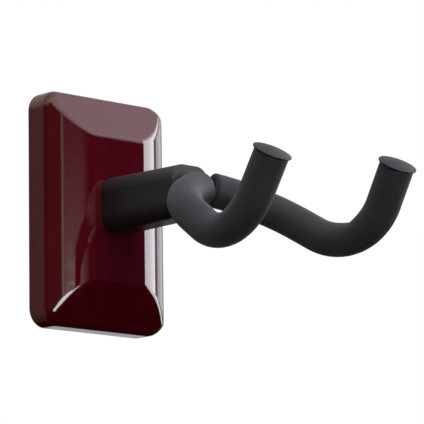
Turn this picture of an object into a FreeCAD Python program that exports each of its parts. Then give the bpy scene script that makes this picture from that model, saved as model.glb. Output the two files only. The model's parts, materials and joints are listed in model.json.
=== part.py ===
import FreeCAD, Part
import math
import os
import re
import Sketcher
from FreeCAD import Placement, Rotation, Vector

# Wall guitar hanger. A lacquered hardwood block hides a steel wall plate, a hollow arm
# stands out of the block, and a padded yoke swivels on a shaft at the end of the arm.
#
# Millimetres, +Z up. The wall is the plane y = 0 and the front is -Y, so depths from the
# wall are negative y. The origin is the centre of the block's back face.

DIMENSIONS = (
    # wooden block
    ("block_width", 67.0),
    ("block_height", 101.0),
    ("block_depth", 21.0),
    ("side_depth", 11.0),
    ("face_width", 27.0),
    ("face_height", 63.5),
    ("outline_radius", 8.0),
    ("slope_radius", 34.5),
    ("cut_spare", 5.0),
    ("front_edge_radius", 4.5),
    ("back_edge_radius", 0.8),
    # wall plate and its screws
    ("plate_width", 44.0),
    ("plate_height", 84.0),
    ("plate_corner", 5.0),
    ("plate_thickness", 2.0),
    ("plate_setback", 4.0),
    ("plate_clearance", 0.3),
    ("keyhole_spacing", 60.0),
    ("keyhole_travel", 7.0),
    ("keyhole_entry", 9.0),
    ("keyhole_slot", 4.6),
    ("head_pocket_width", 10.5),
    ("head_pocket_depth", 5.0),
    ("screw_pitch_across", 32.0),
    ("screw_pitch_up", 74.0),
    ("screw_hole", 3.6),
    ("screw_shank", 3.4),
    ("screw_head", 6.6),
    ("screw_length", 10.0),
    ("pilot_spare", 0.5),
    ("countersink_spare", 0.1),
    # arm
    ("arm_axis_height", 2.0),
    ("arm_width", 21.0),
    ("arm_root_height", 23.5),
    ("arm_tip_height", 22.0),
    ("arm_corner", 6.8),
    ("arm_reach", 44.4),
    ("arm_seat", 8.0),
    ("arm_wall", 1.8),
    ("arm_cavity_height", 18.6),
    ("arm_front_wall", 8.0),
    ("arm_end_radius", 0.5),
    ("socket_clearance", 0.1),
    # anchor inside the arm
    ("anchor_length", 14.0),
    ("anchor_clearance", 0.1),
    ("pin_diameter", 3.0),
    ("pin_bore", 2.0),
    ("pin_slit", 0.5),
    ("pin_inset", 0.1),
    ("bolt_pitch", 10.0),
    ("bolt_diameter", 5.0),
    ("bolt_hole", 5.4),
    ("bolt_length", 20.0),
    ("bolt_head", 9.5),
    ("bolt_head_height", 2.75),
    ("bolt_head_rim", 0.6),
    ("thread_clearance", 0.03),
    ("thread_chamfer", 0.6),
    ("bolt_socket", 3.0),
    ("lock_washer_thickness", 0.8),
    ("lock_washer_width", 1.8),
    ("lock_washer_gap", 0.8),
    # swivel
    ("journal_diameter", 8.0),
    ("running_clearance", 0.04),
    ("bush_diameter", 10.0),
    ("bush_flange_front", 15.0),
    ("bush_flange_rear", 14.0),
    ("bush_flange_thickness", 0.8),
    ("bush_gap", 0.2),
    ("end_play", 0.05),
    ("collar_diameter", 15.6),
    ("collar_thickness", 1.0),
    ("neck_diameter", 6.8),
    ("neck_overlap", 2.5),
    ("collar_chamfer", 0.4),
    ("thread_runout", 0.4),
    ("thread_diameter", 7.9),
    ("thread_overrun", 1.3),
    ("spring_diameter", 13.6),
    ("spring_thickness", 0.5),
    ("spring_clearance", 0.15),
    ("spring_height", 0.9),
    ("washer_diameter", 15.0),
    ("washer_thickness", 1.6),
    ("washer_clearance", 0.25),
    ("nut_flats", 13.0),
    ("nut_hex_height", 5.6),
    ("nut_height", 8.0),
    ("nut_collar", 11.6),
    ("insert_diameter", 9.8),
    ("insert_height", 1.8),
    ("insert_setback", 0.1),
    ("insert_spare", 0.1),
    ("insert_clearance", 0.02),
    ("nut_overlap", 0.4),
    # yoke
    ("yoke_depth", 73.9),
    ("rod_diameter", 8.0),
    ("yoke_swing", -2.7),
    ("centre_bend_radius", 8.0),
    ("shoulder_across", 25.4),
    ("shoulder_forward", 6.6),
    ("shoulder_drop", 5.4),
    ("shoulder_bend_radius", 37.0),
    ("heel_across", 36.6),
    ("heel_forward", 53.4),
    ("heel_drop", 35.3),
    ("heel_bend_radius", 25.5),
    ("tip_across", 35.2),
    ("tip_forward", 77.6),
    ("tip_rise", 2.0),
    # padding and end caps
    ("sleeve_diameter", 14.4),
    ("sleeve_fit", 0.04),
    ("sleeve_start", 3.1),
    ("cap_diameter", 16.2),
    ("cap_thickness", 1.9),
    ("cap_dome", 1.2),
    ("cap_rim", 0.4),
    ("mouth_spare", 0.2),
    ("cap_skirt_diameter", 10.4),
    ("cap_skirt_depth", 8.0),
    ("cap_fit", 0.03),
)

SPREADSHEET = "Dims"
OUTPUT_FOLDER = "parts"
RIGHT, LEFT = 1, -1

doc = FreeCAD.newDocument("wall_guitar_hanger")


def make_sheet():
    """One row a dimension: its name, and its value with that name as the alias."""
    sheet = doc.addObject("Spreadsheet::Sheet", SPREADSHEET)
    for row, (name, value) in enumerate(DIMENSIONS, start=1):
        sheet.set(f"A{row}", name)
        sheet.set(f"B{row}", str(value))
        sheet.setAlias(f"B{row}", name)
    doc.recompute()
    return sheet


sheet = make_sheet()
workings = doc.addObject("Spreadsheet::Sheet", "Workings")


def cell(name):
    """The value of a driving dimension, for the pieces that are computed in code."""
    return float(sheet.get(name))


def in_sheet(expression):
    """Put the sheet's name before each alias of an expression."""
    aliases = {name for name, _ in DIMENSIONS}

    def full_name(match):
        word = match.group(0)
        return f"{SPREADSHEET}.{word}" if word in aliases else word

    return re.sub("[a-z_]+", full_name, expression)


# ---------------------------------------------------------------- shared positions, as expressions

PLATE_BACK = "( 0 - plate_setback )"
RECESS_FLOOR = "( 0 - plate_setback - plate_thickness )"
ARM_ROOT = "( arm_seat - block_depth )"
ARM_END = "( 0 - block_depth - arm_reach )"
CAVITY_END = f"( {ARM_END} + arm_front_wall )"
WALL_MIDDLE = f"( {ARM_END} + arm_front_wall / 2 )"
COLLAR_BACK = f"( {ARM_END} - bush_flange_thickness - end_play )"
COLLAR_FRONT = f"( {COLLAR_BACK} - collar_thickness )"
SPRING_FRONT = f"( {CAVITY_END} + bush_flange_thickness + end_play )"
WASHER_FRONT = f"( {SPRING_FRONT} + spring_height )"
NUT_FRONT = f"( {WASHER_FRONT} + washer_thickness )"
NUT_BACK = f"( {NUT_FRONT} + nut_height )"
SHAFT_END = f"( {NUT_BACK} + thread_overrun )"
PIN_DEPTH = "( block_depth - arm_seat / 2 )"


# ---------------------------------------------------------------- building helpers

def new_body(name):
    body = doc.addObject("PartDesign::Body", name)
    body.Label = name
    return body


def value_of(expression):
    """The number an expression gives now, worked out in a spare cell."""
    workings.set("A1", "=" + in_sheet(expression))
    workings.recomputeCells("A1")
    return float(workings.get("A1"))


def origin_plane(body, role):
    return next(item for item in body.Origin.OriginFeatures if item.Role == role)


def new_sketch(body, name, role, offset=None):
    """A sketch on one of the body's own planes, moved along the plane's normal by offset."""
    sketch = body.newObject("Sketcher::SketchObject", f"{body.Name}_{name}")
    sketch.AttachmentSupport = (origin_plane(body, role), [""])
    sketch.MapMode = "FlatFace"
    if offset is not None:
        sketch.setExpression("AttachmentOffset.Base.z", in_sheet(offset))
    return sketch


def drive(sketch, constraint, expression):
    """Add a dimensional constraint whose value follows an expression of the sheet."""
    index = sketch.addConstraint(constraint)
    sketch.setExpression(f"Constraints[{index}]", in_sheet(expression))


def fix_point(sketch, edge, end, x, y):
    drive(sketch, Sketcher.Constraint("DistanceX", -1, 1, edge, end, value_of(x)), x)
    drive(sketch, Sketcher.Constraint("DistanceY", -1, 1, edge, end, value_of(y)), y)


def arc_between(start, end, radius):
    """The shorter arc from start to end that turns anticlockwise."""
    chord = end - start
    middle = (start + end) / 2
    inward = Vector(-chord.y, chord.x, 0).normalize()
    centre = middle + inward * math.sqrt(radius ** 2 - (chord.Length / 2) ** 2)
    first = math.atan2(start.y - centre.y, start.x - centre.x)
    last = math.atan2(end.y - centre.y, end.x - centre.x)
    return Part.ArcOfCircle(Part.Circle(centre, Vector(0, 0, 1), radius), first, last)


def outline(sketch, corners, arcs=None, hollows=None):
    """A closed outline through corners, anticlockwise.

    arcs maps a side's number to the radius of an arc that bulges out of the outline, and
    hollows does the same for an arc that bulges into it.
    """
    arcs, hollows = arcs or {}, hollows or {}
    points = [Vector(value_of(x), value_of(y), 0) for x, y in corners]
    sides = []
    for side, start in enumerate(points):
        end = points[(side + 1) % len(points)]
        first_end, last_end = (2, 1) if side in hollows else (1, 2)
        if side in arcs:
            shape = arc_between(start, end, value_of(arcs[side]))
        elif side in hollows:
            shape = arc_between(end, start, value_of(hollows[side]))
        else:
            shape = Part.LineSegment(start, end)
        edge = sketch.addGeometry(shape, False)
        fix_point(sketch, edge, first_end, *corners[side])
        sides.append((edge, first_end, last_end))
    for side, (edge, _, last_end) in enumerate(sides):
        next_edge, next_first, _ = sides[(side + 1) % len(sides)]
        sketch.addConstraint(Sketcher.Constraint("Coincident", edge, last_end, next_edge, next_first))
        radius = arcs.get(side) or hollows.get(side)
        if radius:
            drive(sketch, Sketcher.Constraint("Radius", edge, value_of(radius)), radius)


def rounded_rectangle(sketch, width, height, radius, middle="0"):
    """A rectangle centred on the sketch's x = 0 and on y = middle, with round corners."""
    radius = f"( {radius} )"
    right = f"( {width} ) / 2"
    left = f"0 - ( {width} ) / 2"
    top = f"( {middle} ) + ( {height} ) / 2"
    bottom = f"( {middle} ) - ( {height} ) / 2"
    corners = (
        (f"{left} + {radius}", bottom), (f"{right} - {radius}", bottom),
        (right, f"{bottom} + {radius}"), (right, f"{top} - {radius}"),
        (f"{right} - {radius}", top), (f"{left} + {radius}", top),
        (left, f"{top} - {radius}"), (left, f"{bottom} + {radius}"),
    )
    outline(sketch, corners, {side: radius for side in (1, 3, 5, 7)})


def circle(sketch, x, y, diameter):
    centre = Vector(value_of(x), value_of(y), 0)
    shape = Part.Circle(centre, Vector(0, 0, 1), value_of(diameter) / 2)
    edge = sketch.addGeometry(shape, False)
    fix_point(sketch, edge, 3, x, y)
    drive(sketch, Sketcher.Constraint("Diameter", edge, value_of(diameter)), diameter)


def upright_slot(sketch, width, bottom, top):
    """A slot on the sketch's y axis whose round ends are centred at bottom and top."""
    up = Vector(0, 0, 1)
    radius = value_of(width) / 2
    ends = []
    for centre, turn in ((bottom, math.pi), (top, 0.0)):
        whole = Part.Circle(Vector(0, value_of(centre), 0), up, radius)
        arc = sketch.addGeometry(Part.ArcOfCircle(whole, turn, turn + math.pi), False)
        fix_point(sketch, arc, 3, "0", centre)
        ends.append(arc)
    low, high = ends
    right = sketch.addGeometry(Part.LineSegment(Vector(radius, value_of(bottom), 0),
                                                Vector(radius, value_of(top), 0)), False)
    left = sketch.addGeometry(Part.LineSegment(Vector(-radius, value_of(top), 0),
                                               Vector(-radius, value_of(bottom), 0)), False)
    for line, line_end, arc, arc_end in ((right, 1, low, 2), (right, 2, high, 1),
                                         (left, 1, high, 2), (left, 2, low, 1)):
        sketch.addConstraint(Sketcher.Constraint("Tangent", line, line_end, arc, arc_end))
    sketch.addConstraint(Sketcher.Constraint("Equal", low, high))
    drive(sketch, Sketcher.Constraint("Diameter", low, 2 * radius), width)


def pad(body, sketch, length):
    feature = body.newObject("PartDesign::Pad", f"{sketch.Name}_pad")
    feature.Profile = sketch
    feature.setExpression("Length", in_sheet(length))
    doc.recompute()
    return feature


def pocket(body, sketch, length=None, forward=False, midplane=False):
    """Cut along the sketch's normal when forward, else against it. No length cuts right through."""
    before = body.Shape.Volume
    feature = body.newObject("PartDesign::Pocket", f"{sketch.Name}_pocket")
    feature.Profile = sketch
    feature.Reversed = forward
    feature.Midplane = midplane
    if length is None:
        feature.Type = "ThroughAll"
    else:
        feature.setExpression("Length", in_sheet(length))
    doc.recompute()
    if body.Shape.Volume >= before:
        raise RuntimeError(f"{feature.Name} cut nothing")
    return feature


def mirror(body, feature, role):
    mirrored = body.newObject("PartDesign::Mirrored", f"{feature.Name}_mirrored")
    mirrored.Originals = [feature]
    mirrored.MirrorPlane = (origin_plane(body, role), [""])
    body.Tip = mirrored
    doc.recompute()
    return mirrored


def edge_names(shape, wanted):
    return [f"Edge{i}" for i, edge in enumerate(shape.Edges, start=1) if wanted(edge)]


def dress(body, kind, name, wanted, size):
    """A fillet or a chamfer on the edges of the body's last feature that are wanted."""
    base = body.Tip
    edges = edge_names(base.Shape, wanted)
    feature = body.newObject(f"PartDesign::{kind}", f"{body.Name}_{name}")
    feature.Base = (base, edges)
    feature.setExpression("Radius" if kind == "Fillet" else "Size", in_sheet(size))
    doc.recompute()
    return feature


def revolve(body, sketch, axis="V_Axis"):
    feature = body.newObject("PartDesign::Revolution", f"{sketch.Name}_turned")
    feature.Profile = sketch
    feature.ReferenceAxis = (sketch, [axis])
    feature.Angle = 360.0
    doc.recompute()
    return feature


def turned(name, profile, arcs=None, height="arm_axis_height"):
    """A piece turned about a line parallel to Y. The profile's points are (radius, y)."""
    body = new_body(name)
    sketch = new_sketch(body, "profile", "XY_Plane")
    outline(sketch, profile, arcs)
    revolve(body, sketch)
    if height is not None:
        body.setExpression("Placement.Base.z", in_sheet(height))
    return body


def plain_ring(name, bore, diameter, front, back):
    inner, outer = f"( {bore} ) / 2", f"( {diameter} ) / 2"
    return turned(name, ((inner, front), (outer, front), (outer, back), (inner, back)))


def group(name, master, places):
    """One node that holds a copy of the master at each place, as separate solids."""
    doc.recompute()
    copies = []
    for place in places:
        copy = master.Shape.copy()
        copy.Placement = Placement(place, Rotation()) * copy.Placement
        copies.append(copy)
    node = doc.addObject("Part::Feature", name)
    node.Label = name
    node.Shape = Part.makeCompound(copies)
    return node


def middle_of(edge):
    return edge.CenterOfMass


# ---------------------------------------------------------------- wooden block

def make_wood_block():
    body = new_body("wood_block")
    face = new_sketch(body, "outline", "XZ_Plane")
    rounded_rectangle(face, "block_width", "block_height", "outline_radius")
    pad(body, face, "block_depth")

    # the long sides fall away from the front face in a convex curve
    slope = new_sketch(body, "slope", "XY_Plane")
    outline(slope, (
        ("block_width / 2", "0 - side_depth"),
        ("face_width / 2", "0 - block_depth"),
        ("face_width / 2", "0 - block_depth - cut_spare"),
        ("block_width / 2 + cut_spare", "0 - block_depth - cut_spare"),
        ("block_width / 2 + cut_spare", "0 - side_depth"),
    ), hollows={0: "slope_radius"})
    mirror(body, pocket(body, slope, midplane=True), "YZ_Plane")

    # the top and the bottom fall away in flat bevels
    bevel = new_sketch(body, "bevel", "YZ_Plane")
    outline(bevel, (
        ("0 - side_depth", "block_height / 2"),
        ("0 - side_depth", "block_height / 2 + cut_spare"),
        ("0 - block_depth - cut_spare", "block_height / 2 + cut_spare"),
        ("0 - block_depth - cut_spare", "face_height / 2"),
        ("0 - block_depth", "face_height / 2"),
    ))
    mirror(body, pocket(body, bevel, midplane=True), "XY_Plane")
    soften_block(body)

    # recess for the wall plate, with deeper pockets for the heads of the wall's screws
    recess = new_sketch(body, "recess", "XZ_Plane")
    rounded_rectangle(recess, "plate_width + 2 * plate_clearance",
                      "plate_height + 2 * plate_clearance", "plate_corner")
    pocket(body, recess, "plate_setback + plate_thickness", forward=True)
    heads = new_sketch(body, "head_pockets", "XZ_Plane")
    for bottom, top in keyholes():
        upright_slot(heads, "head_pocket_width", bottom, top)
    pocket(body, heads, "plate_setback + plate_thickness + head_pocket_depth", forward=True)

    # socket for the arm, holes for its bolts and pilot holes for the plate's screws
    socket = new_sketch(body, "socket", "XZ_Plane", "block_depth")
    rounded_rectangle(socket, "arm_width + 2 * socket_clearance",
                      "arm_root_height + 2 * socket_clearance", "arm_corner",
                      middle="arm_axis_height")
    pocket(body, socket, "arm_seat")
    bolts = new_sketch(body, "bolt_holes", "XZ_Plane")
    for height in bolt_heights():
        circle(bolts, "0", height, "bolt_hole")
    pocket(body, bolts, "block_depth - arm_seat / 2", forward=True)
    pilots = new_sketch(body, "pilot_holes", "XZ_Plane")
    for across, up in screw_corners():
        circle(pilots, across, up, "screw_hole")
    pocket(body, pilots, "plate_setback + screw_length + pilot_spare", forward=True)
    return body


def soften_block(body):
    """Round the shoulder, the hips and the front face's edges alike, then the back's outer edge."""
    side_depth = cell("side_depth")

    def on_front(edge):
        return edge.BoundBox.YMax < 0.01 - side_depth

    def on_back(edge):
        return edge.BoundBox.YMin > -0.01

    dress(body, "Fillet", "back_edge", on_back, "back_edge_radius")
    dress(body, "Fillet", "front_edges", on_front, "front_edge_radius")


def keyholes():
    """The bottom and the top of each keyhole's travel, which is centred on the pattern."""
    half_travel = "keyhole_travel / 2"
    return [(f"{sign} keyhole_spacing / 2 - {half_travel}",
             f"{sign} keyhole_spacing / 2 + {half_travel}") for sign in ("0 -", "0 +")]


def bolt_heights():
    return [f"arm_axis_height {sign} bolt_pitch / 2" for sign in "-+"]


def screw_corners():
    return [(f"0 {across} screw_pitch_across / 2", f"0 {up} screw_pitch_up / 2")
            for across in "-+" for up in "-+"]


# ---------------------------------------------------------------- wall plate, screws and bolts

def make_back_plate():
    """Steel plate that hooks over two wall screws: a round entry leads up into each slot."""
    body = new_body("back_plate")
    sheet_metal = new_sketch(body, "outline", "XZ_Plane", "plate_setback")
    rounded_rectangle(sheet_metal, "plate_width", "plate_height",
                      "plate_corner - plate_clearance")
    pad(body, sheet_metal, "plate_thickness")
    slots = new_sketch(body, "slots", "XZ_Plane")
    for bottom, top in keyholes():
        upright_slot(slots, "keyhole_slot", bottom, top)
    pocket(body, slots, forward=True)
    entries = new_sketch(body, "entries", "XZ_Plane")
    for bottom, _ in keyholes():
        circle(entries, "0", bottom, "keyhole_entry")
    pocket(body, entries, forward=True)
    holes = new_sketch(body, "bolt_holes", "XZ_Plane")
    for height in bolt_heights():
        circle(holes, "0", height, "bolt_hole")
    pocket(body, holes, forward=True)
    screw_holes = new_sketch(body, "screw_holes", "XZ_Plane")
    for across, up in screw_corners():
        circle(screw_holes, across, up, "screw_hole")
    pocket(body, screw_holes, forward=True)

    def is_screw_mouth(edge):
        centre = middle_of(edge)
        at_back = abs(centre.y + cell("plate_setback")) < 0.01
        return at_back and abs(edge.Length - math.pi * cell("screw_hole")) < 0.01

    dress(body, "Chamfer", "countersink", is_screw_mouth, "( screw_head - screw_hole ) / 2 + countersink_spare")
    return body


def make_plate_screws():
    """Countersunk wood screws, pointed, with a cross recess."""
    shank, head = "screw_shank / 2", "screw_head / 2"
    cone_end = f"{PLATE_BACK} - {head} + {shank}"
    tip = f"{PLATE_BACK} - screw_length"
    master = turned("plate_screw_master", (
        ("0", tip), (shank, f"{tip} + screw_shank"), (shank, cone_end),
        (head, f"{PLATE_BACK}"), ("0", f"{PLATE_BACK}"),
    ), height=None)
    recess = new_sketch(master, "cross", "XZ_Plane", "plate_setback")
    plus_sign(recess, "screw_head * 0.6", "screw_head * 0.15")
    pocket(master, recess, "screw_head * 0.22", forward=True)
    places = [Vector(value_of(across), 0, value_of(up)) for across, up in screw_corners()]
    return group("plate_screws", master, places)


def plus_sign(sketch, span, width):
    """A plus sign, for a cross recess."""
    far, near = f"( {span} ) / 2", f"( {width} ) / 2"
    arm = ((near, near), (near, far), ("-" + near, far), ("-" + near, near))
    corners = []
    for turn in range(4):
        for x, y in arm[:3]:
            corners.append(turned_quarter(x, y, turn))
    outline(sketch, corners)


def turned_quarter(x, y, turns):
    """The point (x, y) turned anticlockwise by quarter turns, as expressions."""
    for _ in range(turns):
        x, y = (y[1:] if y.startswith("-") else "-" + y), x
    return x, y


def make_arm_bolts():
    """Button-head bolts that pull the arm, the block and the plate together."""
    under_head = f"( {PLATE_BACK} + lock_washer_thickness )"
    head_top = f"( {under_head} + bolt_head_height )"
    shank = "( bolt_diameter / 2 - thread_clearance )"
    tip = f"( {under_head} - bolt_length )"
    master = turned("arm_bolt_master", (
        ("0", tip), (f"{shank} - thread_chamfer", tip), (shank, f"{tip} + thread_chamfer"), (shank, under_head),
        ("bolt_head / 2", under_head), ("bolt_head / 2", f"{under_head} + bolt_head_rim"),
        ("bolt_head / 4", head_top), ("0", head_top),
    ), arcs={5: "bolt_head / 2"}, height=None)
    socket = new_sketch(master, "socket", "XZ_Plane", f"0 - {head_top}")
    hexagon(socket, "bolt_socket")
    pocket(master, socket, "bolt_head_height * 0.6", forward=True)
    return group("arm_bolts", master, bolt_places())


def bolt_places():
    return [Vector(0, 0, value_of(height)) for height in bolt_heights()]


def hexagon(sketch, flats):
    """A hexagon across flats, with two flats parallel to the sketch's x axis."""
    half = f"( {flats} ) / 2"
    corner = f"( {flats} ) / sqrt(3)"
    corners = ((corner, "0"), (f"{corner} / 2", half), (f"-{corner} / 2", half),
               (f"-{corner}", "0"), (f"-{corner} / 2", f"-{half}"), (f"{corner} / 2", f"-{half}"))
    outline(sketch, corners)


def make_bolt_lock_washers():
    """Split spring washers, cut through on one side."""
    back = f"( {PLATE_BACK} + lock_washer_thickness )"
    master = turned("lock_washer_master", (
        ("bolt_hole / 2", PLATE_BACK), ("bolt_hole / 2 + lock_washer_width", PLATE_BACK),
        ("bolt_hole / 2 + lock_washer_width", back), ("bolt_hole / 2", back),
    ), height=None)
    gap = new_sketch(master, "split", "XZ_Plane")
    half, end = "lock_washer_gap / 2", "bolt_head"
    outline(gap, ((f"0 - {half}", "0"), (half, "0"), (half, end), (f"0 - {half}", end)))
    pocket(master, gap, midplane=True)
    return group("bolt_lock_washers", master, bolt_places())


# ---------------------------------------------------------------- arm

def make_arm():
    """Tapering hollow arm, open towards the wall, with a solid end bored for the bushes."""
    body = new_body("arm")
    root = new_sketch(body, "root", "XZ_Plane", f"0 - {ARM_ROOT}")
    rounded_rectangle(root, "arm_width", "arm_root_height", "arm_corner")
    tip = new_sketch(body, "tip", "XZ_Plane", f"0 - {ARM_END}")
    rounded_rectangle(tip, "arm_width", "arm_tip_height", "arm_corner")
    loft = body.newObject("PartDesign::AdditiveLoft", "arm_shell")
    loft.Profile = root
    loft.Sections = [tip]
    loft.Ruled = True
    doc.recompute()

    def on_end(edge):
        return all(abs(p.y - value_of(ARM_END)) < 0.01 for p in edge.discretize(3))

    dress(body, "Fillet", "end_edge", on_end, "arm_end_radius")
    cavity = new_sketch(body, "cavity", "XZ_Plane", f"0 - {ARM_ROOT}")
    rounded_rectangle(cavity, "arm_width - 2 * arm_wall", "arm_cavity_height",
                      "arm_corner - arm_wall")
    pocket(body, cavity, f"{ARM_ROOT} - {CAVITY_END}", forward=True)
    bore = new_sketch(body, "bore", "XZ_Plane")
    circle(bore, "0", "0", "bush_diameter")
    pocket(body, bore, forward=True)
    cross_hole = new_sketch(body, "cross_hole", "YZ_Plane")
    circle(cross_hole, f"0 - {PIN_DEPTH}", "0", "pin_diameter")
    pocket(body, cross_hole, midplane=True)
    body.setExpression("Placement.Base.z", in_sheet("arm_axis_height"))
    return body


def make_anchor_block():
    """Steel block pinned inside the root of the arm, tapped for the two bolts."""
    body = new_body("anchor_block")
    face = new_sketch(body, "outline", "XZ_Plane", f"0 - {ARM_ROOT}")
    rounded_rectangle(face, "arm_width - 2 * arm_wall - 2 * anchor_clearance",
                      "arm_cavity_height - 2 * anchor_clearance",
                      "arm_corner - arm_wall - anchor_clearance")
    pad(body, face, "anchor_length")
    taps = new_sketch(body, "taps", "XZ_Plane")
    for sign in "-+":
        circle(taps, "0", f"0 {sign} bolt_pitch / 2", "bolt_diameter")
    pocket(body, taps, forward=True)
    cross_hole = new_sketch(body, "cross_hole", "YZ_Plane")
    circle(cross_hole, f"0 - {PIN_DEPTH}", "0", "pin_diameter")
    pocket(body, cross_hole, midplane=True)
    body.setExpression("Placement.Base.z", in_sheet("arm_axis_height"))
    return body


def make_anchor_pin():
    """Slotted spring pin across the arm, hidden in the block's socket."""
    outer = doc.addObject("Part::Cylinder", "pin_outer")
    bore = doc.addObject("Part::Cylinder", "pin_inner")
    slit = doc.addObject("Part::Box", "pin_opening")
    for cylinder, diameter in ((outer, "pin_diameter"), (bore, "pin_bore")):
        cylinder.setExpression("Radius", in_sheet(f"{diameter} / 2"))
        cylinder.setExpression("Height", in_sheet("arm_width - 2 * pin_inset"))
        cylinder.Placement = Placement(Vector(0, 0, 0), Rotation(Vector(0, 1, 0), 90))
    for name, size in (("Length", "arm_width"), ("Width", "pin_slit"), ("Height", "pin_diameter")):
        slit.setExpression(name, in_sheet(size))
    slit.setExpression("Placement.Base.y", in_sheet("0 - pin_slit / 2"))
    hollow = cut("pin_tube", outer, bore)
    pin = cut("anchor_pin", hollow, slit)
    pin.setExpression("Placement.Base.x", in_sheet("0 - arm_width / 2 + pin_inset"))
    pin.setExpression("Placement.Base.y", in_sheet(f"0 - {PIN_DEPTH}"))
    pin.setExpression("Placement.Base.z", in_sheet("arm_axis_height"))
    return pin


def cut(name, base, tool):
    result = doc.addObject("Part::Cut", name)
    result.Label = name
    result.Base = base
    result.Tool = tool
    doc.recompute()
    return result


# ---------------------------------------------------------------- swivel

def make_bush(name, mouth, outward, barrel_end, flange):
    """A flanged plain bush. Its flange stands outward from the mouth of the bore."""
    bore = "journal_diameter / 2 + running_clearance"
    barrel = "bush_diameter / 2"
    rim = f"( {mouth} {outward} bush_flange_thickness )"
    profile = [(bore, rim), (f"{flange} / 2", rim), (f"{flange} / 2", mouth), (barrel, mouth),
               (barrel, barrel_end), (bore, barrel_end)]
    if outward == "+":
        profile.reverse()
    return turned(name, profile)


def make_pivot_shaft(rod):
    """Collar, neck, journal and threaded end in one turning. The neck is welded to the rod."""
    journal = "journal_diameter / 2"
    thread = "thread_diameter / 2"
    neck_end = "( rod_diameter / 2 - neck_overlap - yoke_depth )"
    thread_start = f"( {NUT_FRONT} - thread_runout )"
    blank = turned("pivot_blank", (
        ("0", neck_end), ("neck_diameter / 2", neck_end), ("neck_diameter / 2", COLLAR_FRONT),
        ("collar_diameter / 2 - collar_chamfer", COLLAR_FRONT),
        ("collar_diameter / 2", f"{COLLAR_FRONT} + collar_chamfer"),
        ("collar_diameter / 2", COLLAR_BACK), (journal, COLLAR_BACK), (journal, thread_start),
        (thread, thread_start), (thread, f"{SHAFT_END} - thread_chamfer"),
        (f"{thread} - thread_chamfer", SHAFT_END), ("0", SHAFT_END),
    ))
    # the saddle for the rod leaves slivers, so only the largest solid is the shaft
    doc.recompute()
    pieces = blank.Shape.cut(rod.Shape).Solids
    shaft = doc.addObject("Part::Feature", "pivot_shaft")
    shaft.Label = "pivot_shaft"
    shaft.Shape = max(pieces, key=lambda piece: piece.Volume)
    return shaft


def make_disc_spring():
    """Conical spring washer that keeps a little friction in the swivel."""
    inner, outer = "journal_diameter / 2 + spring_clearance", "spring_diameter / 2"
    back = f"( {SPRING_FRONT} + spring_height )"
    return turned("disc_spring", (
        (inner, f"{back} - spring_thickness"), (outer, SPRING_FRONT),
        (outer, f"{SPRING_FRONT} + spring_thickness"), (inner, back),
    ))


def make_lock_nut():
    """Hexagon nut with a round collar at the back that holds a nylon ring."""
    body = new_body("lock_nut")
    face = new_sketch(body, "hexagon", "XZ_Plane", f"0 - {NUT_FRONT} - nut_hex_height")
    hexagon(face, "nut_flats")
    pad(body, face, "nut_hex_height")
    collar = new_sketch(body, "collar", "XZ_Plane", f"0 - {NUT_BACK}")
    circle(collar, "0", "0", "nut_collar")
    pad(body, collar, "nut_height - nut_hex_height + nut_overlap")
    seat = new_sketch(body, "seat", "XZ_Plane", f"0 - {NUT_BACK}")
    circle(seat, "0", "0", "insert_diameter")
    pocket(body, seat, "insert_height + insert_setback + insert_spare", forward=True)
    bore = new_sketch(body, "bore", "XZ_Plane")
    circle(bore, "0", "0", "thread_diameter + 2 * thread_clearance")
    pocket(body, bore, forward=True)
    body.setExpression("Placement.Base.z", in_sheet("arm_axis_height"))
    return body


def make_lock_nut_insert():
    """The nylon ring that grips the shaft's thread."""
    back = f"( {NUT_BACK} - insert_setback )"
    return plain_ring("lock_nut_insert", "thread_diameter + 2 * thread_clearance",
                      "insert_diameter - 2 * insert_clearance",
                      f"( {back} - insert_height )", back)


# ---------------------------------------------------------------- yoke

def yoke_points():
    """Corners of the rod's centre line, from the left tip through the swivel to the right tip."""
    centre = Vector(0, -cell("yoke_depth"), cell("arm_axis_height"))
    half = [
        Vector(cell("shoulder_across"), -cell("shoulder_forward"), -cell("shoulder_drop")),
        Vector(cell("heel_across"), -cell("heel_forward"), -cell("heel_drop")),
        Vector(cell("tip_across"), -cell("tip_forward"), cell("tip_rise")),
    ]
    mirrored = [Vector(-point.x, point.y, point.z) for point in reversed(half)]
    swing = Rotation(Vector(0, 1, 0), cell("yoke_swing"))
    return [centre + swing.multVec(point) for point in mirrored + [Vector()] + half]


def bend(before, corner, after, radius):
    """Where a bend of this radius leaves the first leg, its middle, and where it joins the next."""
    back = (before - corner).normalize()
    onward = (after - corner).normalize()
    half_angle = back.getAngle(onward) / 2
    reach = radius / math.tan(half_angle)
    towards_centre = (back + onward).normalize()
    middle = corner + towards_centre * (radius / math.sin(half_angle) - radius)
    return corner + back * reach, middle, corner + onward * reach


def centre_line(points, radii):
    """Straight legs joined by round bends, one bend at each inner point."""
    edges = []
    leg_start = points[0]
    for before, corner, after, radius in zip(points, points[1:], points[2:], radii):
        enter, middle, leave = bend(before, corner, after, radius)
        if (enter - leg_start).dot(corner - before) <= 0:
            raise RuntimeError(f"the bends at {before} and {corner} overlap")
        edges.append(Part.makeLine(leg_start, enter))
        edges.append(Part.Arc(enter, middle, leave).toShape())
        leg_start = leave
    edges.append(Part.makeLine(leg_start, points[-1]))
    return Part.Wire(edges)


def section_at_start(path, diameter, bore=None):
    """The round section of a bar, or the ring section of a tube, square to the path's start."""
    start = path.OrderedEdges[0]
    point = start.valueAt(start.FirstParameter)
    along = start.tangentAt(start.FirstParameter)
    rims = [Part.Wire([Part.makeCircle(diameter / 2, point, along)])]
    if bore is not None:
        rims.append(Part.Wire([Part.makeCircle(bore / 2, point, along)]))
    return Part.makeFace(rims, "Part::FaceMakerBullseye")


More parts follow.
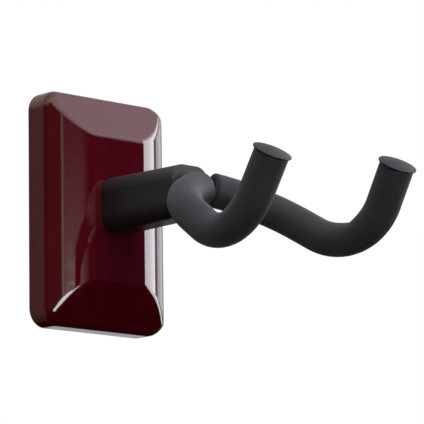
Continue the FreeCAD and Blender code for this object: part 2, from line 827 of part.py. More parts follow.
def carried(shape, edge):
    """The surface that a rim sweeps along one leg or bend, and the rim where it ends up."""
    end = shape.copy()
    if isinstance(edge.Curve, Part.Circle):
        turn = math.degrees(edge.LastParameter - edge.FirstParameter)
        end.rotate(edge.Curve.Center, edge.Curve.Axis, turn)
        return shape.revolve(edge.Curve.Center, edge.Curve.Axis, turn), end
    step = edge.valueAt(edge.LastParameter) - edge.valueAt(edge.FirstParameter)
    end.translate(step)
    return shape.extrude(step), end


def swept(name, path, diameter, bore=None):
    """A bar, or a tube when it has a bore, made of one cylinder or torus for each leg or bend."""
    section = section_at_start(path, diameter, bore)
    faces = [section.copy()]
    for edge in path.OrderedEdges:
        for rim in section.Wires:
            faces += carried(rim, edge)[0].Faces
        section = carried(section, edge)[1]
    faces.append(section)
    shell = Part.makeShell(faces)
    shell.sewShape()
    solid = Part.makeSolid(shell)
    if solid.Volume < 0:
        solid.reverse()
    bar = doc.addObject("Part::Feature", name)
    bar.Label = name
    bar.Shape = solid
    return bar


def shortened(points, length):
    """The same points with the last leg cut back by length."""
    back = (points[-2] - points[-1]).normalize()
    return points[:-1] + [points[-1] + back * length]


def make_yoke_rod():
    """One steel rod bent into both prongs. Each end stops under the face of its cap."""
    end_gap = cell("cap_thickness")
    points = shortened(yoke_points(), end_gap)
    points = shortened(points[::-1], end_gap)
    shoulder, heel = cell("shoulder_bend_radius"), cell("heel_bend_radius")
    radii = [heel, shoulder, cell("centre_bend_radius"), shoulder, heel]
    return swept("yoke_rod", centre_line(points, radii), cell("rod_diameter"))


def prong_points(side):
    """Corners of one prong, from the start of its padding to the tip."""
    points = yoke_points()
    if side == LEFT:
        points = points[::-1]
    centre, shoulder = points[3:5]
    start = centre + (shoulder - centre).normalize() * cell("sleeve_start")
    return [start] + points[4:]


def tip_placement(side):
    """At the outer face of a prong's cap, with local Z pointing out along the rod."""
    before, tip = prong_points(side)[-2:]
    return Placement(tip, Rotation(Vector(0, 0, 1), tip - before))


def make_sleeve(name, side):
    """Padding from the centre bend to the cap, opened out at its end for the cap's skirt."""
    points = shortened(prong_points(side), cell("cap_thickness"))
    radii = [cell("shoulder_bend_radius"), cell("heel_bend_radius")]
    bore = cell("rod_diameter") + 2 * cell("sleeve_fit")
    tube = swept(f"{name}_tube", centre_line(points, radii), cell("sleeve_diameter"), bore)
    mouth = doc.addObject("Part::Cylinder", f"{name}_mouth")
    mouth.setExpression("Radius", in_sheet("cap_skirt_diameter / 2 + sleeve_fit"))
    mouth.setExpression("Height", in_sheet("cap_skirt_depth + cap_thickness + mouth_spare"))
    depth = cell("cap_skirt_depth") + cell("cap_thickness") + cell("mouth_spare")
    mouth.Placement = tip_placement(side) * Placement(Vector(0, 0, -depth), Rotation())
    return cut(name, tube, mouth)


def make_cap(name, side):
    """End cap: a thin domed flange over the padding and a skirt over the rod's end."""
    body = new_body(name)
    profile = new_sketch(body, "profile", "XZ_Plane")
    bore = "rod_diameter / 2 + cap_fit"
    under = "0 - cap_thickness"
    skirt_end = "0 - cap_thickness - cap_skirt_depth"
    outline(profile, (
        ("0", under), (bore, under), (bore, skirt_end), ("cap_skirt_diameter / 2", skirt_end),
        ("cap_skirt_diameter / 2", under), ("cap_diameter / 2 - cap_rim", under),
        ("cap_diameter / 2", f"{under} + cap_rim"), ("cap_diameter / 2", "0 - cap_dome"), ("0", "0"),
    ), arcs={7: "( cap_diameter * cap_diameter / 4 + cap_dome * cap_dome ) / ( 2 * cap_dome )"})
    revolve(body, profile)
    body.Placement = tip_placement(side)
    return body


# ---------------------------------------------------------------- checks and files

def check_document():
    for item in doc.Objects:
        if "Invalid" in item.State or "Error" in item.State:
            raise RuntimeError(f"{item.Name} failed: {item.State}")


def write_parts(nodes):
    os.makedirs(OUTPUT_FOLDER, exist_ok=True)
    for node in nodes:
        shape = node.Shape
        if shape.isNull() or not shape.isValid() or not shape.Solids:
            raise RuntimeError(f"{node.Label} has no valid solid")
        shape.exportStep(os.path.join(OUTPUT_FOLDER, f"{node.Label}.step"))


def main():
    rod = make_yoke_rod()
    nodes = [
        make_wood_block(), make_back_plate(), make_plate_screws(),
        make_arm(), make_anchor_block(), make_anchor_pin(),
        make_arm_bolts(), make_bolt_lock_washers(),
        make_bush("pivot_bush_front", ARM_END, "-",
                  f"( {WALL_MIDDLE} - bush_gap / 2 )", "bush_flange_front"),
        make_bush("pivot_bush_rear", CAVITY_END, "+",
                  f"( {WALL_MIDDLE} + bush_gap / 2 )", "bush_flange_rear"),
        make_pivot_shaft(rod), make_disc_spring(),
        plain_ring("pivot_washer", "thread_diameter + 2 * washer_clearance", "washer_diameter",
                   WASHER_FRONT, NUT_FRONT),
        make_lock_nut(), make_lock_nut_insert(), rod,
        make_sleeve("sleeve_left", LEFT), make_sleeve("sleeve_right", RIGHT),
        make_cap("cap_left", LEFT), make_cap("cap_right", RIGHT),
    ]
    doc.recompute()
    check_document()
    write_parts(nodes)


main()
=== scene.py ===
import json
import math
import random

import bmesh
import bpy
from mathutils import Matrix, Quaternion, Vector


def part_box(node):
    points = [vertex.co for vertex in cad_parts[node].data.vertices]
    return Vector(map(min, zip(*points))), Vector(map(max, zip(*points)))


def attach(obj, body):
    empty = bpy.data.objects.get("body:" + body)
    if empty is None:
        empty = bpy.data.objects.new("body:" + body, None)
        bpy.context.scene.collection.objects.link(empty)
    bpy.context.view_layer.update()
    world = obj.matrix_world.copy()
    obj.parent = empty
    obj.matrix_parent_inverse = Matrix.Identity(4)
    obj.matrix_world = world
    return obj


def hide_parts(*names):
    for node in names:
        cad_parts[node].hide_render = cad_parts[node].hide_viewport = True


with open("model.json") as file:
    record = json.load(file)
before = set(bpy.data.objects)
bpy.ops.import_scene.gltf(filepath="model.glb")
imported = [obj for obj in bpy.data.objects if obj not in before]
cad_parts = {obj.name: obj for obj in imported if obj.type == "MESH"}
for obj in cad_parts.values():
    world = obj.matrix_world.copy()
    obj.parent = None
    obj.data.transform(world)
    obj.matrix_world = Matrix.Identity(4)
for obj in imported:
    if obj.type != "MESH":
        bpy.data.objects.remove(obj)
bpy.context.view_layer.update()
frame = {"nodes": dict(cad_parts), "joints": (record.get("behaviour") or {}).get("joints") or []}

# A wall guitar hanger: a lacquered wooden block, a black arm and a yoke with two padded
# prongs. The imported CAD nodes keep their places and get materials. The padding and the
# end caps are modelled here in finer detail. Metres, +Z up, the wall is the plane y = 0.

MM = 0.001
SIDES = {"left": -1, "right": 1}

# ---------------------------------------------------------------- sizes

# centre line of one prong, measured from the swivel: across, forward of it and above it
SHOULDER = (25.4 * MM, 6.6 * MM, -5.4 * MM)
HEEL = (36.6 * MM, 53.4 * MM, -35.3 * MM)
TIP = (35.2 * MM, 77.6 * MM, 2.0 * MM)
SHOULDER_BEND = 37.0 * MM
HEEL_BEND = 25.5 * MM

# the swivel on the arm's axis, and how far round it the yoke rests
SWIVEL = Vector(frame["joints"][0]["pos_m"])
YOKE_SWING = Quaternion((0, 1, 0), math.radians(-2.7))

# where the lacquer ends: round the back plate, in front of it and on the block's back
RECESS_MARGIN = 0.6 * MM
RECESS_PAINT_EDGE = 3.0 * MM
BACK_PAINT_EDGE = 0.3 * MM

# painted light: the wood's colour changes from the front panel's cooler tone, painted for the cool
# light on the front, to the slopes' warmer tone, painted for the warm light on the sides, between
# these distances from x = 0
LIGHT_TINT_FRONT_EDGE = 14.0 * MM
LIGHT_TINT_SIDE_EDGE = 32.0 * MM

# foam sleeve on the rod; diameters, and how far from the swivel it starts
ROD = 8.0 * MM
BORE = ROD + 0.1 * MM
PADDING = 14.4 * MM
PADDING_START = 3.1 * MM
PADDING_LIP = 0.7 * MM

# end cap: a domed flange, and a skirt over the rod's end
CAP = 16.2 * MM
CAP_THICKNESS = 1.9 * MM
CAP_DOME = 1.2 * MM
CAP_RIM = 0.4 * MM
CAP_RIM_STEPS = 6
CAP_SKIRT = 10.4 * MM
CAP_SKIRT_DEPTH = 8.0 * MM

# shallow rings in the dome; places and width are shares of the cap's radius
CAP_GROOVES = (0.30, 0.58, 0.86)
CAP_GROOVE_WIDTH = 0.04
CAP_GROOVE_DEPTH = 0.16 * MM
CAP_DOME_STEPS = 40

# how the foam gives way where the rod bends; a station's bend goes from 0 to 1
CREASE_DEPTH = 1.4 * MM
CREASE_WIDTH = 5.0 * MM
WRINKLE_HEIGHT = 0.12 * MM
WRINKLE_PITCH = 3.4 * MM
WRINKLE_WIDTH = 0.3 * WRINKLE_PITCH
WRINKLE_SEED = 11
OUTER_STRETCH = 0.25 * MM
STRAIGHT = 0.01
FULLY_BENT = 0.99

# spacing of the rings along a prong, and the vertices in a ring
STATION_STEP = 0.6 * MM
AROUND = 96

# the padding's bore opens out at its end for the cap's skirt
MOUTH = CAP_SKIRT + 0.1 * MM
MOUTH_DEPTH = CAP_SKIRT_DEPTH + STATION_STEP + 0.2 * MM


# ---------------------------------------------------------------- node helpers

def node(tree, kind, inputs=None, **settings):
    """Adds a shader node. An input may be a value or the output socket that feeds it."""
    made = tree.nodes.new("ShaderNode" + kind)
    for name, value in settings.items():
        setattr(made, name, value)
    for name, value in (inputs or {}).items():
        if isinstance(value, bpy.types.NodeSocket):
            tree.links.new(value, made.inputs[name])
        else:
            made.inputs[name].default_value = value
    return made


def maths(tree, operation, first, second=0.0):
    """The result of one sum."""
    return node(tree, "Math", {0: first, 1: second}, operation=operation).outputs[0]


def blend(tree, factor, first, second):
    """The colour between two others."""
    made = node(tree, "Mix", data_type="RGBA")
    for socket, value in ((0, factor), (6, first), (7, second)):
        if isinstance(value, bpy.types.NodeSocket):
            tree.links.new(value, made.inputs[socket])
        elif socket == 0:
            made.inputs[socket].default_value = value
        else:
            made.inputs[socket].default_value = (*value, 1)
    return made.outputs[2]


def spread(tree, value, low, high, to_low=0.0, to_high=1.0):
    """A value carried from one range to another, and held at its ends."""
    made = node(tree, "MapRange", {"Value": value, "From Min": low, "From Max": high,
                                   "To Min": to_low, "To Max": to_high})
    return made.outputs["Result"]


def place(tree, stretch=(1, 1, 1)):
    """The point being shaded, in metres in the shared frame, stretched for a grain."""
    where = node(tree, "TexCoord").outputs["Object"]
    return node(tree, "Mapping", {"Vector": where, "Scale": stretch}).outputs[0]


def noise(tree, where, scale, detail=3.0, roughness=0.55):
    """Soft noise with this many features a metre."""
    made = node(tree, "TexNoise", {"Vector": where, "Scale": scale, "Detail": detail,
                                   "Roughness": roughness})
    return made.outputs[0]


def bump(tree, height, depth):
    """A normal raised by a height from 0 to 1, where 1 is this deep in metres."""
    inputs = {"Height": height, "Distance": depth, "Strength": 1.0}
    return node(tree, "Bump", inputs).outputs[0]


def material(name, build):
    """A material whose surface is what build makes in its node tree."""
    made = bpy.data.materials.new(name)
    made.use_nodes = True
    tree = made.node_tree
    tree.nodes.clear()
    surface = node(tree, "BsdfPrincipled", build(tree))
    node(tree, "OutputMaterial", {"Surface": surface.outputs[0]})
    return made


# ---------------------------------------------------------------- materials

def inside_recess(tree):
    """1 on the unlacquered back and in the recess that holds the wall plate, 0 elsewhere."""
    low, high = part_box("back_plate")
    position = node(tree, "TexCoord").outputs["Object"]
    parts = node(tree, "SeparateXYZ", {0: position})
    across = maths(tree, "ABSOLUTE", parts.outputs["X"])
    height = maths(tree, "ABSOLUTE", parts.outputs["Z"])
    near_middle = maths(tree, "LESS_THAN", across, high.x + RECESS_MARGIN)
    near_height = maths(tree, "LESS_THAN", height, high.z + RECESS_MARGIN)
    behind = maths(tree, "GREATER_THAN", parts.outputs["Y"], low.y - RECESS_PAINT_EDGE)
    pocket = maths(tree, "MULTIPLY", near_middle, near_height)
    pocket = maths(tree, "MULTIPLY", pocket, behind)
    back = maths(tree, "GREATER_THAN", parts.outputs["Y"], -BACK_PAINT_EDGE)
    return maths(tree, "MAXIMUM", pocket, back)


def lacquered_wood(tree):
    """Hardwood in a cherry stain with upright grain under clear gloss lacquer. Painted light: the
    stain is painted cooler on the front panel and warmer on the slopes, for the light that falls
    on each.
    """
    bare = inside_recess(tree)
    grain = place(tree, (1, 1, 0.035))
    broad = noise(tree, grain, 140, 4)
    streaks = noise(tree, grain, 900, 5, 0.6)
    pores = spread(tree, noise(tree, place(tree, (1, 1, 0.03)), 2600, 2), 0.60, 0.70)
    figure = spread(tree, maths(tree, "ADD", maths(tree, "MULTIPLY", broad, 0.6),
                                maths(tree, "MULTIPLY", streaks, 0.4)), 0.36, 0.64)
    across = maths(tree, "ABSOLUTE", node(tree, "SeparateXYZ", {0: place(tree)}).outputs["X"])
    # painted light: front is the stain under the cool light on the front panel, side is the stain
    # under the warm light on the slopes and sides, blended by the distance from x = 0
    front = blend(tree, figure, (0.098, 0.0014, 0.0100), (0.138, 0.0030, 0.0145))
    side = blend(tree, figure, (0.082, 0.0016, 0.0040), (0.114, 0.0036, 0.0062))
    stain_and_light_tint = blend(tree, spread(tree, across, LIGHT_TINT_FRONT_EDGE, LIGHT_TINT_SIDE_EDGE), front, side)
    stain_and_light_tint = blend(tree, maths(tree, "MULTIPLY", pores, 0.45), stain_and_light_tint, (0.055, 0.0008, 0.0070))
    plain = blend(tree, figure, (0.30, 0.165, 0.085), (0.43, 0.26, 0.145))
    plain = blend(tree, maths(tree, "MULTIPLY", pores, 0.5), plain, (0.17, 0.09, 0.05))
    lacquered = maths(tree, "SUBTRACT", 1.0, bare)
    ripple = noise(tree, place(tree), 260, 1)
    fibres = maths(tree, "MULTIPLY", streaks, bare)
    return {
        "Base Color": blend(tree, bare, stain_and_light_tint, plain),
        "Roughness": spread(tree, bare, 0, 1, 0.42, 0.78),
        "Specular IOR Level": maths(tree, "MULTIPLY", bare, 0.3),
        "Coat Weight": lacquered,
        "Coat Roughness": spread(tree, noise(tree, place(tree), 90, 3), 0.3, 0.7, 0.045, 0.075),
        "Coat IOR": 1.5,
        "Coat Normal": bump(tree, ripple, 0.010 * MM),
        "Normal": bump(tree, fibres, 0.25 * MM),
    }


def plated_steel(tree):
    """Zinc plate: cool grey with a faint spangle, rolling lines and a few scuffs."""
    rolled = noise(tree, place(tree, (1, 1, 0.02)), 2200, 3)
    cloud = noise(tree, place(tree), 130, 4)
    scuffs = spread(tree, noise(tree, place(tree, (1, 1, 0.15)), 700, 6, 0.7), 0.60, 0.72)
    tone = blend(tree, cloud, (0.50, 0.52, 0.55), (0.66, 0.67, 0.66))
    tone = blend(tree, maths(tree, "MULTIPLY", scuffs, 0.35), tone, (0.33, 0.34, 0.35))
    return {
        "Base Color": tone,
        "Metallic": 1.0,
        "Roughness": spread(tree, maths(tree, "ADD", cloud, scuffs), 0.3, 1.3, 0.26, 0.48),
        "Normal": bump(tree, rolled, 0.012 * MM),
    }


def plain_steel(tree):
    """Uncoated machined steel with an oil film and turning marks."""
    cloud = noise(tree, place(tree), 300, 4)
    lines = noise(tree, place(tree, (0.05, 1, 0.05)), 5200, 2)
    return {
        "Base Color": blend(tree, cloud, (0.30, 0.29, 0.28), (0.47, 0.46, 0.44)),
        "Metallic": 1.0,
        "Roughness": spread(tree, cloud, 0.3, 0.7, 0.28, 0.42),
        "Normal": bump(tree, lines, 0.010 * MM),
    }


def black_arm(tree):
    """Satin black moulding with a fine spark-eroded grain."""
    skin = noise(tree, place(tree), 4200, 3, 0.6)
    cloud = noise(tree, place(tree), 70, 3)
    flow = noise(tree, place(tree, (1, 0.12, 1)), 260, 2)
    return {
        "Base Color": blend(tree, cloud, (0.009, 0.0095, 0.0105), (0.013, 0.0135, 0.0145)),
        "Roughness": spread(tree, maths(tree, "ADD", cloud, flow), 0.7, 1.3, 0.40, 0.50),
        "Specular IOR Level": 0.38,
        "Normal": bump(tree, skin, 0.018 * MM),
    }


def black_steel(tree):
    """Powder-coated steel: black, half gloss, with a soft orange-peel surface."""
    peel = noise(tree, place(tree), 1100, 2)
    return {
        "Base Color": blend(tree, peel, (0.010, 0.010, 0.011), (0.016, 0.016, 0.017)),
        "Roughness": spread(tree, peel, 0.3, 0.7, 0.30, 0.40),
        "Normal": bump(tree, peel, 0.045 * MM),
    }


def bearing_plastic(tree):
    """Natural acetal: milky, a little translucent, with turning lines."""
    cloud = noise(tree, place(tree), 240, 3)
    lines = noise(tree, place(tree, (0.04, 1, 0.04)), 4200, 1)
    return {
        "Base Color": blend(tree, cloud, (0.72, 0.71, 0.67), (0.80, 0.79, 0.76)),
        "Roughness": spread(tree, cloud, 0.3, 0.7, 0.32, 0.44),
        "Subsurface Weight": 0.15,
        "Subsurface Radius": (0.8 * MM, 0.8 * MM, 0.7 * MM),
        "Normal": bump(tree, lines, 0.008 * MM),
    }


def blue_nylon(tree):
    """The locking ring of the nut."""
    cloud = noise(tree, place(tree), 500, 3)
    return {
        "Base Color": blend(tree, cloud, (0.012, 0.055, 0.30), (0.020, 0.085, 0.38)),
        "Roughness": spread(tree, cloud, 0.3, 0.7, 0.38, 0.50),
        "Normal": bump(tree, noise(tree, place(tree), 2800, 2), 0.012 * MM),
    }


def foam(tree):
    """Charcoal closed-cell foam with a smooth skin: fine cells with painted shade in their
    hollows, soft mottling and a sheen.
    """
    where = place(tree)
    cells = node(tree, "TexVoronoi", {"Vector": where, "Scale": 2600.0}).outputs["Distance"]
    skin = noise(tree, where, 1500, 4, 0.6)
    mottle = noise(tree, where, 110, 4, 0.6)
    relief = maths(tree, "ADD", maths(tree, "MULTIPLY", cells, 0.6), skin)
    tone = blend(tree, spread(tree, mottle, 0.3, 0.7),
                 (0.032, 0.034, 0.037), (0.043, 0.045, 0.049))
    # painted shade: the colour darkens towards (0.020, 0.021, 0.023) in the cells' hollows, where
    # the bump is lowest
    pit_shade = spread(tree, cells, 0.0, 0.16, 0.35, 0.0)
    return {
        "Base Color": blend(tree, pit_shade, tone, (0.020, 0.021, 0.023)),
        "Roughness": spread(tree, mottle, 0.3, 0.7, 0.56, 0.66),
        "Specular IOR Level": 0.20,
        "Sheen Weight": 0.12,
        "Sheen Roughness": 0.45,
        "Sheen Tint": (0.85, 0.92, 1.0, 1.0),
        "Normal": bump(tree, relief, 0.022 * MM),
    }


def cap_rubber(tree):
    """Moulded rubber, a shade harder and smoother than the foam."""
    where = place(tree)
    skin = noise(tree, where, 3600, 3, 0.6)
    cloud = noise(tree, where, 160, 3)
    return {
        "Base Color": blend(tree, cloud, (0.018, 0.019, 0.021), (0.027, 0.028, 0.031)),
        "Roughness": spread(tree, cloud, 0.3, 0.7, 0.50, 0.60),
        "Specular IOR Level": 0.30,
        "Normal": bump(tree, skin, 0.016 * MM),
    }


FINISHES = {
    "lacquered_wood": lacquered_wood,
    "plated_steel": plated_steel,
    "plain_steel": plain_steel,
    "black_arm": black_arm,
    "black_steel": black_steel,
    "bearing_plastic": bearing_plastic,
    "blue_nylon": blue_nylon,
    "foam": foam,
    "cap_rubber": cap_rubber,
}


def finish_cad_nodes(materials):
    """Each CAD node keeps its shape and takes the detailed material of its slot."""
    for part in frame["nodes"].values():
        for slot in part.material_slots:
            slot.material = materials[slot.material.name.split(".")[0]]


# ---------------------------------------------------------------- centre line of a prong

def from_swivel(side, offset):
    """A point given by how far it is across, forward of and above the level swivel."""
    across, forward, rise = offset
    return SWIVEL + YOKE_SWING @ Vector((side * across, -forward, rise))


def leg(start, end):
    """Stations along a straight leg: where, which way, and no bend."""
    run = end - start
    count = max(2, round(run.length / STATION_STEP))
    still = Vector((0, 0, 0))
    return [(start + run * (i / count), run.normalized(), still) for i in range(count)]


def bend(before, corner, after, radius):
    """Where a round bend starts and ends, and its stations.

    A station's third value points at the bend's centre, and its length rises from 0 at
    the ends of the bend to 1 at its middle.
    """
    back = (before - corner).normalized()
    onward = (after - corner).normalized()
    half_angle = back.angle(onward) / 2
    reach = radius / math.tan(half_angle)
    centre = corner + (back + onward).normalized() * (radius / math.sin(half_angle))
    start, end = corner + back * reach, corner + onward * reach
    axis = back.cross(onward).normalized() * -1
    turn = math.pi - 2 * half_angle
    count = max(4, round(turn * radius / STATION_STEP))
    stations = []
    for i in range(count):
        share = i / count
        spin = Quaternion(axis, turn * share)
        point = centre + spin @ (start - centre)
        inward = (centre - point).normalized() * math.sin(math.pi * share)
        stations.append((point, spin @ -back, inward))
    return start, end, stations


def prong_stations(side):
    """Stations from the start of the padding, through both bends, to its end at the cap."""
    shoulder, heel, tip = (from_swivel(side, point) for point in (SHOULDER, HEEL, TIP))
    start = SWIVEL + (shoulder - SWIVEL).normalized() * PADDING_START
    end = tip + (heel - tip).normalized() * CAP_THICKNESS
    first_in, first_out, first = bend(start, shoulder, heel, SHOULDER_BEND)
    second_in, second_out, second = bend(shoulder, heel, tip, HEEL_BEND)
    stations = leg(start, first_in) + first + leg(first_out, second_in) + second
    stations += leg(second_out, end)
    stations.append((end, (tip - heel).normalized(), Vector((0, 0, 0))))
    return stations


# ---------------------------------------------------------------- padding

def new_object(name, mesh_builder, body, made_of, stands_for):
    """A smooth-shaded piece that rides a body and stands for a CAD node."""
    mesh = bpy.data.meshes.new(name)
    mesh_builder.to_mesh(mesh)
    mesh_builder.free()
    for face in mesh.polygons:
        face.use_smooth = True
    mesh.materials.append(made_of)
    piece = bpy.data.objects.new(name, mesh)
    bpy.context.scene.collection.objects.link(piece)
    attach(piece, body)
    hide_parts(stands_for)
    return piece


def lip(distance):
    """How far the surface draws in near a rounded end, this far from the end."""
    if distance >= PADDING_LIP:
        return 0.0
    short = PADDING_LIP - distance
    return PADDING_LIP - math.sqrt(max(PADDING_LIP ** 2 - short ** 2, 0.0))


def wrinkles(length, chance):
    """Low ripples of uneven pitch along the padding, as (place, height)."""
    ripples = []
    place_along = 0.0
    while place_along < length:
        ripples.append((place_along, chance.uniform(0.5, 1.0)))
        place_along += WRINKLE_PITCH * chance.uniform(0.75, 1.25)
    return ripples


def foam_relief(along, inward, facing, ripples, creases):
    """How far the padding's surface stands off its nominal radius at one point.

    facing is 1 on the inner side of a bend and -1 on the outer side.
    """
    if inward < STRAIGHT:
        return 0.0
    if facing <= 0:
        return -OUTER_STRETCH * inward * facing * facing
    squeezed = inward * facing ** 2
    relief = 0.0
    for place_along, height in ripples:
        gap = (along - place_along) / WRINKLE_WIDTH
        relief += WRINKLE_HEIGHT * height * squeezed * math.exp(-gap * gap)
    for place_along in creases:
        gap = abs(along - place_along) / CREASE_WIDTH
        relief -= CREASE_DEPTH * squeezed ** 2 * math.exp(-gap)
    return relief


def ring_frames(stations):
    """For each station, two directions square to the rod that don't twist along it."""
    aside = stations[0][1].orthogonal().normalized()
    frames = []
    last = stations[0][1]
    for _, along, _ in stations:
        aside = (last.rotation_difference(along) @ aside).normalized()
        frames.append((aside, along.cross(aside).normalized()))
        last = along
    return frames


def directions_round(aside, across):
    """The ways out from the rod, one for each vertex of a ring."""
    angles = [2 * math.pi * k / AROUND for k in range(AROUND)]
    return [aside * math.cos(angle) + across * math.sin(angle) for angle in angles]


def lengths_along(stations):
    """How far along the prong each station is from the first one."""
    lengths = [0.0]
    for before, after in zip(stations, stations[1:]):
        lengths.append(lengths[-1] + (after[0] - before[0]).length)
    return lengths


def make_padding(side_name, made_of):
    """One foam sleeve: drawn in at its ends, wrinkled where it is squeezed in a bend."""
    side = SIDES[side_name]
    chance = random.Random(WRINKLE_SEED + side)
    stations = prong_stations(side)
    frames = ring_frames(stations)
    lengths = lengths_along(stations)
    total = lengths[-1]
    ripples = wrinkles(total, chance)
    bent = [length for station, length in zip(stations, lengths) if station[2].length > FULLY_BENT]
    creases = [max(bent)]
    rings = list(zip(stations, frames, lengths))
    builder = bmesh.new()
    loops = []
    for (point, _, inward), (aside, across), length in rings:
        loop = []
        drawn_in = max(lip(length), lip(total - length))
        for out in directions_round(aside, across):
            facing = out.dot(inward.normalized()) if inward.length else 0.0
            relief = foam_relief(length, inward.length, facing, ripples, creases)
            loop.append(builder.verts.new(point + out * (PADDING / 2 - drawn_in + relief)))
        loops.append(loop)
    for (point, _, _), (aside, across), length in reversed(rings):
        opening = MOUTH if total - length < MOUTH_DEPTH else BORE
        loops.append([builder.verts.new(point + out * opening / 2)
                      for out in directions_round(aside, across)])
    for near, far in zip(loops, loops[1:] + loops[:1]):
        for k in range(AROUND):
            builder.faces.new((near[k], near[k - 1], far[k - 1], far[k]))
    bmesh.ops.recalc_face_normals(builder, faces=builder.faces)
    name = f"padding_{side_name}"
    return new_object(name, builder, "yoke", made_of, f"sleeve_{side_name}")


# ---------------------------------------------------------------- caps

def cap_profile():
    """Half section of a cap as (radius, height), from the middle of its dome inward."""
    profile = []
    reach = CAP / 2
    for i in range(CAP_DOME_STEPS + 1):
        radius = (reach - CAP_RIM) * i / CAP_DOME_STEPS
        height = -CAP_DOME * (radius / reach) ** 2
        for groove in CAP_GROOVES:
            gap = (radius / reach - groove) / CAP_GROOVE_WIDTH
            height -= CAP_GROOVE_DEPTH * math.exp(-gap * gap)
        profile.append((radius, height))
    top = profile[-1][1]
    bottom = -CAP_THICKNESS
    quarter = [math.pi / 2 * i / CAP_RIM_STEPS for i in range(CAP_RIM_STEPS + 1)]
    for angle in quarter[1:]:
        profile.append((reach - CAP_RIM + CAP_RIM * math.sin(angle),
                        top - CAP_RIM + CAP_RIM * math.cos(angle)))
    for angle in quarter:
        profile.append((reach - CAP_RIM + CAP_RIM * math.cos(angle),
                        bottom + CAP_RIM - CAP_RIM * math.sin(angle)))
    profile.append((CAP_SKIRT / 2, bottom))
    profile.append((CAP_SKIRT / 2, bottom - CAP_SKIRT_DEPTH))
    profile.append((BORE / 2, bottom - CAP_SKIRT_DEPTH))
    profile.append((BORE / 2, bottom))
    profile.append((0.0, bottom))
    return profile


def make_cap(side_name, made_of):
    """An end cap: a thin domed flange with shallow rings, over a skirt round the rod."""
    side = SIDES[side_name]
    heel, tip = from_swivel(side, HEEL), from_swivel(side, TIP)
    outward = (tip - heel).normalized()
    turn = Vector((0, 0, 1)).rotation_difference(outward).to_matrix().to_4x4()
    builder = bmesh.new()
    points = [builder.verts.new((radius, 0, height)) for radius, height in cap_profile()]
    edges = [builder.edges.new(pair) for pair in zip(points, points[1:])]
    bmesh.ops.spin(builder, geom=points + edges, axis=(0, 0, 1), cent=(0, 0, 0),
                   angle=2 * math.pi, steps=AROUND, use_merge=True)
    bmesh.ops.remove_doubles(builder, verts=builder.verts, dist=0.001 * MM)
    bmesh.ops.recalc_face_normals(builder, faces=builder.faces)
    bmesh.ops.transform(builder, matrix=Matrix.Translation(tip) @ turn, verts=builder.verts)
    name = f"end_cap_{side_name}"
    return new_object(name, builder, "yoke", made_of, f"cap_{side_name}")


# ---------------------------------------------------------------- studio

# the camera: lens and sensor in Blender's millimetres, its direction from the swivel, its
# distance, and how far the aim is moved off the swivel across and up the picture
LENS = 269.0
SENSOR = 36.0
VIEW_TURN = math.radians(-43.11)
VIEW_RISE = math.radians(-10.20)
VIEW_ROLL = math.radians(-0.86)
VIEW_DISTANCE = 1.3118
VIEW_SHIFT_ACROSS = 3.07 * MM
VIEW_SHIFT_UP = -9.89 * MM
FLOOR_DROP = 0.30
FLOOR_RADIUS = 6.0


def direction(turn, rise):
    """The way from the object to a light or the camera: turn 0 is in front, 90 degrees at +X."""
    return Vector((math.sin(turn) * math.cos(rise), -math.cos(turn) * math.cos(rise),
                   math.sin(rise)))


def softbox(name, target, turn, rise, distance, width, height, radiance):
    """A rectangular light aimed at the target. Its power follows from its size and radiance."""
    light = bpy.data.lights.new(name, "AREA")
    light.shape = "RECTANGLE"
    light.size, light.size_y = width, height
    light.energy = radiance * math.pi * width * height
    away = direction(math.radians(turn), math.radians(rise))
    lamp = bpy.data.objects.new(name, light)
    lamp.location = target + away * distance
    lamp.rotation_mode = "QUATERNION"
    lamp.rotation_quaternion = away.to_track_quat("Z", "Y")
    bpy.context.scene.collection.objects.link(lamp)
    lamp.visible_camera = False
    return lamp


def make_lights(target):
    """A high key light from the left, a top light and a side light, for the matt surfaces."""
    lamps = (softbox("key_light", target, -25, 57, 1.3, 1.6, 1.2, 1.6),
             softbox("top_light", target, 50, 72, 1.2, 0.9, 0.9, 1.4),
             softbox("side_light", target, 128, 8, 1.2, 0.4, 0.9, 4.0))
    for lamp in lamps:
        lamp.visible_glossy = False


def card(tree, turn, rise, edges, strength):
    """A soft-edged reflector seen by gloss. Edges are degrees: left, right, low, high, each
    as where it starts to show and where it is full."""
    (left, left_full), (right, right_full), (low, low_full), (high, high_full) = edges
    seen = maths(tree, "MULTIPLY", spread(tree, turn, left, left_full),
                 spread(tree, turn, right, right_full))
    seen = maths(tree, "MULTIPLY", seen, spread(tree, rise, low, low_full))
    seen = maths(tree, "MULTIPLY", seen, spread(tree, rise, high, high_full))
    return maths(tree, "MULTIPLY", seen, strength)


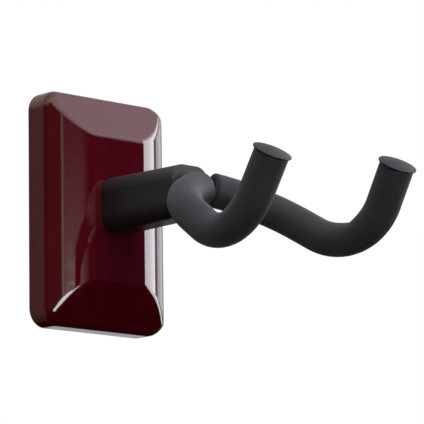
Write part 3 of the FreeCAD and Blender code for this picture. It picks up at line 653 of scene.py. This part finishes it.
def make_reflections(tree):
    """The studio as the lacquer sees it: soft cards round the object, dark in front of it."""
    heading = node(tree, "SeparateXYZ", {0: node(tree, "TexCoord").outputs["Generated"]})
    facing = maths(tree, "MULTIPLY", heading.outputs["Y"], -1.0)
    turn = maths(tree, "ARCTAN2", heading.outputs["X"], facing)
    turn = maths(tree, "MULTIPLY", turn, math.degrees(1))
    rise = maths(tree, "ARCSINE", heading.outputs["Z"])
    rise = maths(tree, "MULTIPLY", rise, math.degrees(1))
    overhead = spread(tree, facing, -0.25, 0.6, 0.6, 2.2)
    window = spread(tree, rise, 8.5, 12.0, 0.9, 0.13)
    cards = (
        # right of the object: a bright strip, its dim far edge, and two behind, high and low
        card(tree, turn, rise, ((57, 59), (86, 84), (-16, -8), (42, 22)), 7.0),
        card(tree, turn, rise, ((80, 84), (100, 98), (-30, -22), (42, 22)), 0.6),
        card(tree, turn, rise, ((92, 97), (125, 112), (3, 8), (45, 25)), 1.7),
        card(tree, turn, rise, ((112, 125), (170, 155), (-22, -14), (2, -4)), 0.7),
        # in front, a little left: the window, its sharp left edge and its hot sill
        card(tree, turn, rise, ((-28, -27), (14, 2), (-26, -18), (20, 14)), window),
        card(tree, turn, rise, ((-29, -28), (-25, -26), (-26, -18), (20, 14)), 0.9),
        card(tree, turn, rise, ((-26, -20), (4, -4), (-24, -14), (8.7, 7.4)), 13.0),
        # dim fill: behind on the left, at the left, and in front on the right
        card(tree, turn, rise, ((-180, -175), (-90, -120), (-50, -20), (70, 40)), 0.26),
        card(tree, turn, rise, ((-90, -60), (-22, -26), (-20, 0), (40, 20)), 0.08),
        card(tree, turn, rise, ((16, 24), (64, 56), (2, 7), (40, 20)), 0.03),
        # the ceiling, all the way round
        card(tree, turn, rise, ((-181, -180), (181, 180), (13, 27), (91, 90)), overhead),
    )
    total = cards[0]
    for one in cards[1:]:
        total = maths(tree, "ADD", total, one)
    cool = maths(tree, "MULTIPLY", total, spread(tree, turn, -60, 40, 0.97, 1.06))
    return node(tree, "CombineColor", {0: total, 1: total, 2: cool}).outputs[0]


def make_world():
    """White to the camera, soft light from above on matt surfaces, and cards for gloss."""
    world = bpy.data.worlds.new("studio")
    bpy.context.scene.world = world
    world.use_nodes = True
    tree = world.node_tree
    tree.nodes.clear()
    ray = node(tree, "LightPath")
    heading = node(tree, "SeparateXYZ", {0: node(tree, "TexCoord").outputs["Generated"]})
    height = spread(tree, heading.outputs["Z"], -1.0, 1.0, 0.11, 0.24)
    leftward = spread(tree, heading.outputs["X"], 0.6, -1.0, 0.0, 0.16)
    level = maths(tree, "ADD", height, leftward)
    ambient = node(tree, "CombineColor", {0: level, 1: level, 2: level}).outputs[0]
    shade = blend(tree, ray.outputs["Is Glossy Ray"], ambient, make_reflections(tree))
    seen = blend(tree, ray.outputs["Is Camera Ray"], shade, (1.0, 1.0, 1.0))
    background = node(tree, "Background", {"Color": seen, "Strength": 1.0})
    node(tree, "OutputWorld", {"Surface": background.outputs[0]})


def floor_paint(tree):
    """Pale studio floor with the faintest unevenness."""
    cloud = noise(tree, place(tree), 3, 3)
    return {
        "Base Color": blend(tree, cloud, (0.80, 0.80, 0.80), (0.84, 0.84, 0.84)),
        "Roughness": 0.8,
    }


def make_floor(target):
    """A plain pale floor that the object neither reflects nor takes light from."""
    builder = bmesh.new()
    bmesh.ops.create_circle(builder, cap_ends=True, segments=96, radius=FLOOR_RADIUS)
    mesh = bpy.data.meshes.new("floor")
    builder.to_mesh(mesh)
    builder.free()
    mesh.materials.append(material("floor_paint", floor_paint))
    floor = bpy.data.objects.new("floor", mesh)
    floor.location = (target.x, target.y, target.z - FLOOR_DROP)
    bpy.context.scene.collection.objects.link(floor)
    floor.visible_glossy = False
    floor.visible_diffuse = False


def make_camera(target):
    """A long lens in front of the object, to its left and a little below it."""
    camera = bpy.data.cameras.new("camera")
    camera.lens, camera.sensor_width = LENS, SENSOR
    camera.clip_start, camera.clip_end = 0.01, 50
    away = direction(VIEW_TURN, VIEW_RISE)
    facing = away.to_track_quat("Z", "Y")
    facing = Quaternion(away, VIEW_ROLL) @ facing
    across, up = facing @ Vector((1, 0, 0)), facing @ Vector((0, 1, 0))
    holder = bpy.data.objects.new("camera", camera)
    holder.rotation_mode = "QUATERNION"
    holder.rotation_quaternion = facing
    aim = target + across * VIEW_SHIFT_ACROSS + up * VIEW_SHIFT_UP
    holder.location = aim + away * VIEW_DISTANCE
    bpy.context.scene.collection.objects.link(holder)
    bpy.context.scene.camera = holder


def make_studio():
    """Camera, lights, backdrop and the plain colour transform of a product picture."""
    make_camera(SWIVEL)
    make_lights(SWIVEL)
    make_world()
    make_floor(SWIVEL)
    bpy.context.scene.view_settings.view_transform = "Standard"


# ---------------------------------------------------------------- the whole scene

materials = {name: material(name, build) for name, build in FINISHES.items()}
finish_cad_nodes(materials)
for side_name in SIDES:
    make_padding(side_name, materials["foam"])
    make_cap(side_name, materials["cap_rubber"])
make_studio()
